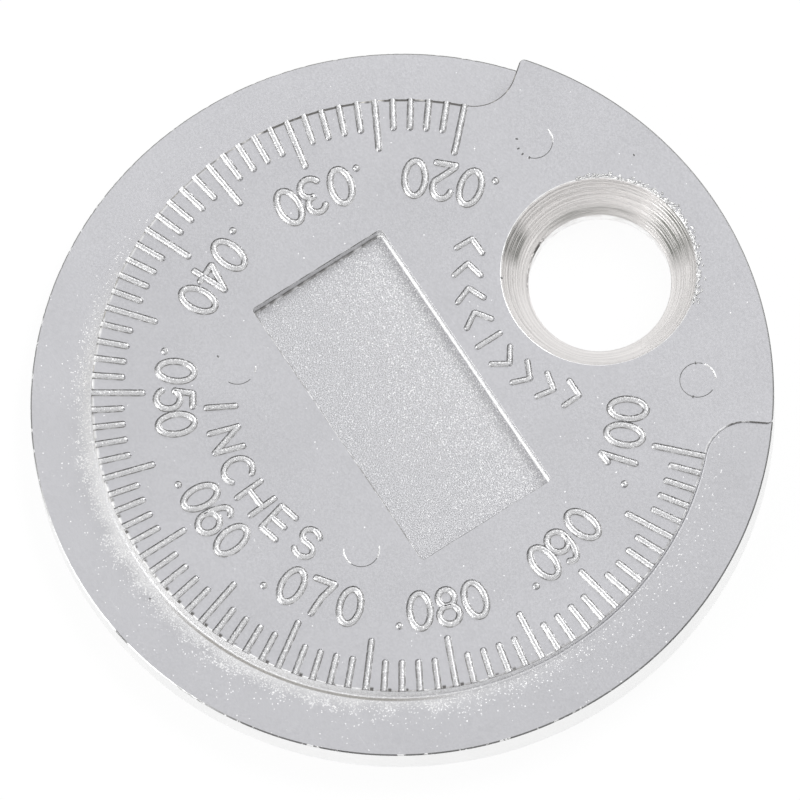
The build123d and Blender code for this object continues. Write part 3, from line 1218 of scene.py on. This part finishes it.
def blasted_floor(shape, name, colour):
    """Floor of the pocket: fine bright and dark grains, and painted glints that grow thicker towards the
    hole.
    """
    skin, side = Skin(name, 0.38), shape.pocket_width / 2
    grains = skin.noise(19.0, 2.0, 0.8)
    skin.base = skin.blend(grains.ramp(0.35, 0.65), tint(colour, 0.62), tint(colour, 1.5))
    # Painted glints, thicker towards the hole's side
    speck = skin.specks(16.0, 0.6, skin.y.ramp(-0.3 * side, side, 0.08, 0.42))
    skin.paint(speck * 0.85, BRIGHT)
    skin.give(skin.shader["Metallic"], speck.ramp(0.0, 1.0, 1.0, 0.2))
    skin.finish(grains, 0.015)


def pocket_wall(shape, name, colour):
    """Wall of the pocket: satin, with painted shade as a thin line along its top and foot, and a painted
    highlight on its upper side.
    """
    skin, side, top = Skin(name, 0.4, 0.6), shape.pocket_width / 2, shape.thickness
    foot = top - shape.pocket_depth
    skin.base = skin.blend(skin.noise(4.0), tint(colour, 0.85), tint(colour, 1.15))
    upper = skin.y.ramp(side - 0.34, side - 0.2)
    # Painted shade along the top and foot, left off the upper side
    lines = skin.z.ramp(top - 0.1, top - 0.05) | skin.z.ramp(foot + 0.16, foot + 0.1)
    skin.paint(lines * skin.noise(2.0).ramp(0.4, 0.55, 0.2, 0.8) * (1 - upper), PAINTED_SHADE)
    # Painted highlight on the upper side, strongest low on the wall
    bright = skin.z.ramp(top - 0.22, top - 0.34, 0.15, 1.0)
    skin.paint(upper * bright * skin.noise(3.0).ramp(0.35, 0.55, 0.4, 1.0), BRIGHT)
    skin.finish(skin.noise(6.0), 0.03)


def worn_rim(name, colour, dark):
    """Rim's rounded top edge: painted shade as a dark line, with painted highlights in its nicks and all
    along one side.
    """
    skin = Skin(name, 0.35)
    nicks = skin.noise(1.6, 3.0, 0.7).ramp(0.56, 0.6) * skin.near(265, 75, 110)
    # Painted shade as the dark line, lighter about one direction
    skin.base = skin.blend(skin.near(190, 30, 75), dark, tint(dark, 2.0))
    # Painted highlights in the nicks and along one side
    skin.paint(nicks | skin.near(272, 14, 30), colour)
    # A short stretch of painted shade inside that side
    skin.paint(skin.near(278.2, 1.2, 1.7), dark)
    skin.finish(skin.noise(4.0))


def turned_metal(shape, name, colour, dark):
    """Turned hole wall: warm bright metal with fine level lines and dark reflections."""
    skin = Skin(name, 0.36, centre_y=shape.hole_centre)
    lines = skin.noise(2.2, 3.0, 0.6, skin.join(skin.angle * 0.006, skin.z * 7.0))
    skin.base = skin.blend(lines.ramp(0.36, 0.62), tint(colour, 0.82), tint(colour, 1.12))
    for direction, reach, low, high, strength in HOLE_SHADES:
        patch = skin.z.ramp(low - SHADE_FADE, low + SHADE_FADE) * strength
        patch = patch * skin.z.ramp(high + SHADE_FADE, high - SHADE_FADE)
        patch = patch * skin.near(direction, reach * 0.5, reach * 1.3)
        skin.paint(patch * lines.ramp(0.42, 0.54, 0.05, 1.0), dark)
    bore, mouth = shape.hole_bore_length, shape.thickness
    # Painted dark reflection in irregular spots just above the bore, about one direction
    edge = skin.z.ramp(bore - 0.03, bore + 0.02) * skin.z.ramp(bore + 0.2, bore + 0.1)
    dark_reflection = skin.near(206, 7, 12) | skin.near(228, 12, 20) * 0.4
    skin.paint(edge * dark_reflection * skin.noise(4.0).ramp(0.4, 0.5), PAINTED_SHADE)
    # White patches on the straight bore and along the mouth's broken edge
    white_patches = skin.z.ramp(bore + 0.02, bore - 0.02) | skin.z.ramp(mouth - 0.06, mouth - 0.045)
    skin.paint(white_patches * skin.noise(1.5).ramp(0.4, 0.55, 0.35, 1.0), WHITE)
    skin.finish(lines, 0.02)


class GAUGE_OT_finishes(bpy.types.Operator):
    """Mixes the cast, turned and blasted metal"""

    bl_idname = "gauge.finishes"
    bl_label = "Finishes"

    def execute(self, context):
        finish = context.scene.gauge_finish
        shape, scale = sizes(context)
        for name, colour, settings in (
            ("cast_face", finish.cast, {}),
            # Painted highlight, near white, with dark mottle as painted shade among the burr's flakes
            ("burr_metal", finish.edge, {"mottle": 0.5, "grain": 1.5}),
            # Painted shade for the ejector rings' dark arcs, and the colour of the pits
            ("stained_metal", finish.rim_line, {"mottle": 0.3}),
            # The rim's side, the same metal painted near white as a painted reflection
            ("bright_side", finish.edge, {}),
        ):
            skin, height = cast_metal(shape, scale, name, colour, **settings)
            skin.finish(height)
        raised_metal(shape, scale, "raised_metal", finish.raised)
        ledge_wall(shape, scale, "cast_wall", finish.wall)
        pocket_wall(shape, "pocket_wall", finish.pocket_wall)
        blasted_floor(shape, "blasted_floor", finish.blasted)
        worn_rim("worn_rim", finish.edge, finish.rim_line)
        turned_metal(shape, "turned_hole", finish.turned, finish.shade)
        return {"FINISHED"}


def cleared_tree(holder):
    """The node tree of a new material or world, with nothing in it, and what its rays are."""
    holder.use_nodes = True
    holder.node_tree.nodes.clear()
    t = Tree(holder.node_tree)
    return t, t.node("ShaderNodeLightPath")


class GAUGE_OT_studio(bpy.types.Operator):
    """Sets up the white floor, the soft light and the camera"""

    bl_idname = "gauge.studio"
    bl_label = "Studio"

    def execute(self, context):
        studio = plain(context.scene.gauge_studio)
        self.lay_floor(context, studio)
        self.light_room(context, studio)
        for name, azimuth, elevation in LAMPS:
            self.hang_lamp(context, name, azimuth, elevation)
        self.place_camera(context, studio)
        context.scene.view_settings.view_transform = "Standard"
        return {"FINISHED"}

    def lay_floor(self, context, studio):
        """A large square under the gauge, which looks almost white but throws back less light."""
        material = bpy.data.materials.new("studio_floor")
        t, sight = cleared_tree(material)
        seen = sight["Is Camera Ray"] | sight["Is Glossy Ray"] | sight["Is Transmission Ray"]
        matt = t.add("ShaderNodeBsdfDiffuse", {"Color": (*studio.floor, 1)})
        white = t.add("ShaderNodeEmission", {"Color": (*WHITE, 1), "Strength": 1.0})
        mixed = t.add("ShaderNodeMixShader", {0: seen * 0.88, 1: matt, 2: white})
        t.node("ShaderNodeOutputMaterial", {"Surface": mixed})
        mesh = bpy.data.meshes.new("studio_floor")
        signs = ((-1, -1), (1, -1), (1, 1), (-1, 1))
        corners = [(x * FLOOR_HALF, y * FLOOR_HALF, -FLOOR_DROP) for x, y in signs]
        mesh.from_pydata(corners, [], [(0, 1, 2, 3)])
        mesh.materials.append(material)
        floor = linked(context, "studio_floor", mesh)

    def light_room(self, context, studio):
        """Light all round, strongest half way up, from a room that looks white itself."""
        world = context.scene.world = bpy.data.worlds.new("studio_room")
        t, sight = cleared_tree(world)
        x, y, z = t.split(t.node("ShaderNodeTexCoord")["Generated"])
        rise = z.ramp(0.28, 0.5, studio.low_band, studio.high_band)
        fall = z.ramp(0.72, 0.93, 0.0, studio.high_band - studio.sky)
        right = (x * 0.35 + y * 0.94).ramp(-0.9, 0.9, 0.84, 1.12)
        room = t.add("ShaderNodeBackground", {"Color": (*WHITE, 1), "Strength": (rise - fall) * right})
        white = t.add("ShaderNodeBackground", {"Color": (*WHITE, 1), "Strength": 1.0})
        seen = sight["Is Camera Ray"] | sight["Is Transmission Ray"]
        mixed = t.add("ShaderNodeMixShader", {0: seen, 1: room, 2: white})
        t.node("ShaderNodeOutputWorld", {"Surface": mixed})

    def hang_lamp(self, context, name, azimuth, elevation):
        """A soft square lamp that faces the object."""
        lamp = bpy.data.lights.new(name, "AREA")
        lamp.shape, lamp.size, lamp.energy = "SQUARE", LAMP_SIZE, LAMP_WATTS
        level, rise = polar(1, azimuth), math.radians(elevation)
        towards = Vector((*(level * math.cos(rise)), math.sin(rise)))
        obj = linked(context, name, lamp)
        obj.location = towards * LAMP_DISTANCE
        obj.rotation_euler = towards.to_track_quat("Z", "Y").to_euler()

    def place_camera(self, context, studio):
        """The camera, turned to the face's middle and shifted a little from it."""
        camera = bpy.data.cameras.new("camera")
        camera.sensor_width = 36
        camera.lens = studio.lens
        camera.clip_start, camera.clip_end = 0.05, 10
        a, e, r = (math.radians(v) for v in (studio.azimuth, studio.elevation, studio.roll))
        back = Vector((math.sin(a) * math.cos(e), -math.cos(a) * math.cos(e), math.sin(e)))
        level = Vector((math.cos(a), math.sin(a), 0))
        right = level * math.cos(r) - back.cross(level) * math.sin(r)
        up = back.cross(right)
        face = Vector((0, 0, plain(context.scene.gauge_shape).thickness))
        place = face + back * studio.distance - right * studio.aim_right - up * studio.aim_up
        obj = linked(context, "camera", camera)
        obj.matrix_world = Matrix.Translation(place * MM) @ Matrix((right, up, back)).transposed().to_4x4()
        context.scene.camera = obj


STEPS = (
    GAUGE_OT_finishes,
    GAUGE_OT_body,
    GAUGE_OT_marks,
    GAUGE_OT_numbers,
    GAUGE_OT_unit,
    GAUGE_OT_chevrons,
    GAUGE_OT_castings,
    GAUGE_OT_studio,
)

GROUPS = {
    "gauge_shape": GaugeShape,
    "gauge_scale": GaugeScale,
    "gauge_finish": GaugeFinish,
    "gauge_studio": GaugeStudio,
}


class GAUGE_PT_panel(bpy.types.Panel):
    """Lists the gauge's pieces in the order they are built, and their settings"""

    bl_label = "Gap Gauge"
    bl_idname = "GAUGE_PT_panel"
    bl_space_type = "VIEW_3D"
    bl_region_type = "UI"
    bl_category = "Gap Gauge"

    def draw(self, context):
        for step in STEPS:
            self.layout.operator(step.bl_idname)
        for name, group in GROUPS.items():
            box = self.layout.box()
            box.label(text=group.__doc__)
            for setting in group.__annotations__:
                box.prop(getattr(context.scene, name), setting)


def register():
    for name, group in GROUPS.items():
        bpy.utils.register_class(group)
        setattr(bpy.types.Scene, name, PointerProperty(type=group))
    for cls in (*STEPS, GAUGE_PT_panel):
        bpy.utils.register_class(cls)


def unregister():
    for cls in reversed((*STEPS, GAUGE_PT_panel)):
        bpy.utils.unregister_class(cls)
    for name, group in reversed(GROUPS.items()):
        delattr(bpy.types.Scene, name)
        bpy.utils.unregister_class(group)


def main():
    """Builds every piece and the studio."""
    register()
    for step in STEPS:
        group, name = step.bl_idname.split(".")
        getattr(getattr(bpy.ops, group), name)()


if __name__ == "__main__":
    main()
